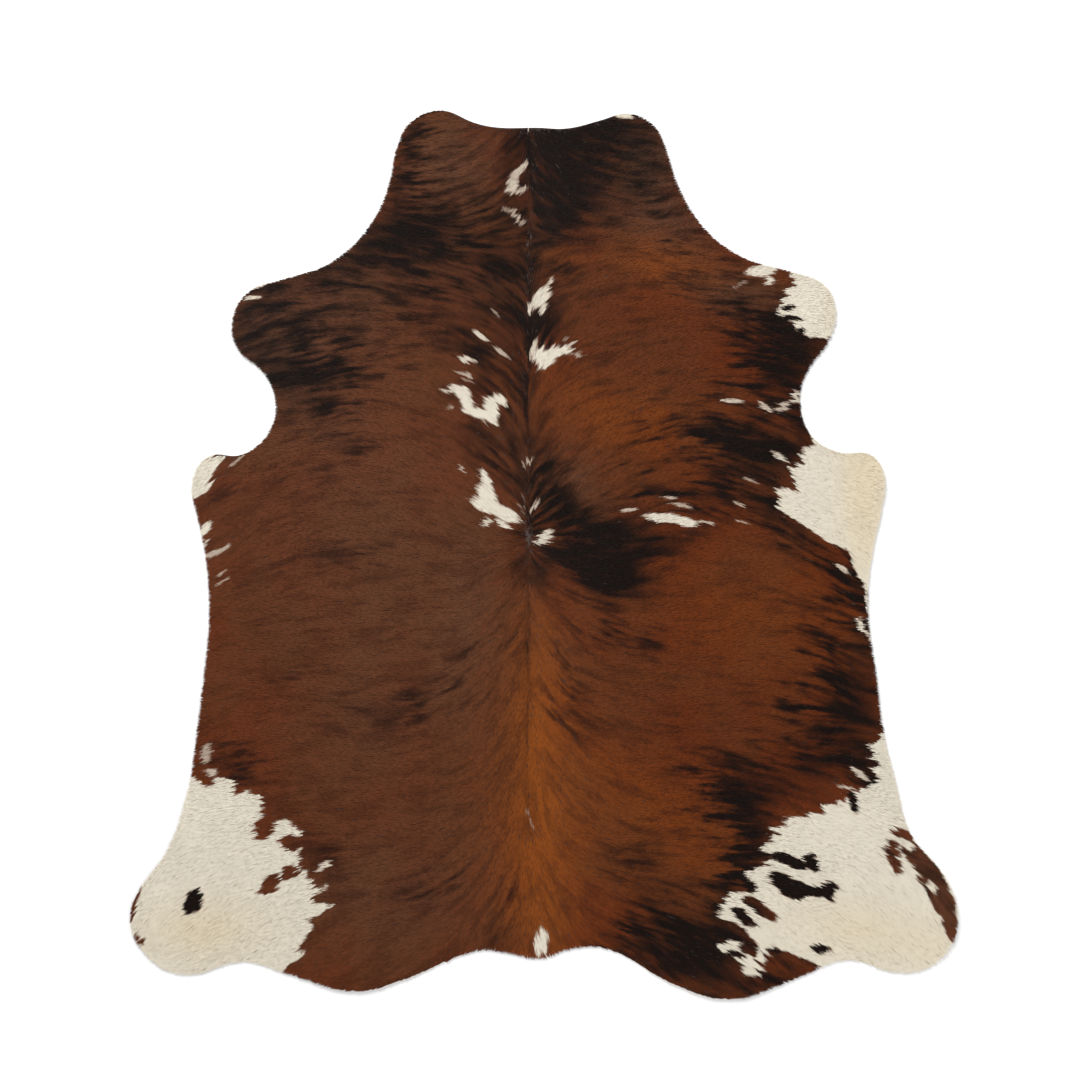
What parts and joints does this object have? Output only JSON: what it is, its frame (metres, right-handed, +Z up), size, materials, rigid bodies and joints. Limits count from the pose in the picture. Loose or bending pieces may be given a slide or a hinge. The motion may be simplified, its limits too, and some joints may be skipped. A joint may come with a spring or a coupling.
{
  "type": "cowhide rug",
  "caption": "Full natural-shape cowhide rug, hair side up, lying flat: neck, foreleg, elbow, hind leg and tail lobes with a tricolour brindle coat and white patches.",
  "frame": {"origin": "bottom centre of the hide's bounding box, on the surface it lies on", "axes": "+Y along the spine towards the neck, +X to the right of the spine seen from above with the neck away from the viewer, +Z up, out of the hair side"},
  "size_m": [1.8111, 2.209, 0.0119],
  "materials": {
    "cowhide": "hair-on tanned cowhide, short glossy brindle hair lying flat, white patches"
  },
  "bodies": {
    "root": {"hide": "cowhide"}
  },
  "joints": []
}
